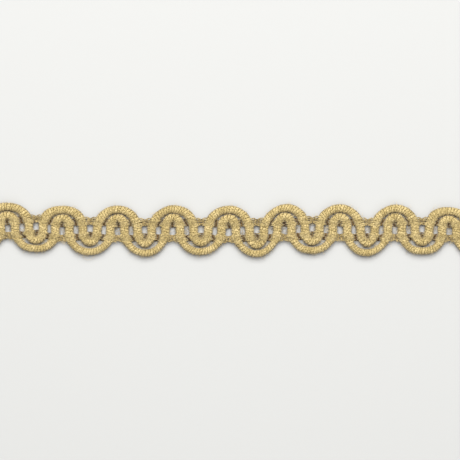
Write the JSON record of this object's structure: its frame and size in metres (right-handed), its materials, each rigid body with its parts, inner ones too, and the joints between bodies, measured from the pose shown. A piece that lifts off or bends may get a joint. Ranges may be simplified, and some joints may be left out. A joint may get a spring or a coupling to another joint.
{
  "type": "cut length of scroll gimp braid",
  "caption": "Flat scroll gimp braid of wrapped cords laid in nested waves and held by rows of chain stitch, cut square at both ends, for covering upholstery edges.",
  "frame": {"origin": "middle of the flat back of the braid, at the centre of its outline", "axes": "+X along the braid, +Y across it towards the upper row of waves, +Z out of its face"},
  "size_m": [0.1226, 0.0138, 0.0023],
  "materials": {
    "upper_cord": "wrapped cotton yarn",
    "lower_cord": "wrapped cotton yarn",
    "upper_stitches": "soft cotton thread",
    "lower_stitches": "soft cotton thread"
  },
  "bodies": {
    "root": {"upper_cord": "upper_cord", "lower_cord": "lower_cord", "upper_stitches": "upper_stitches", "lower_stitches": "lower_stitches"}
  },
  "joints": []
}
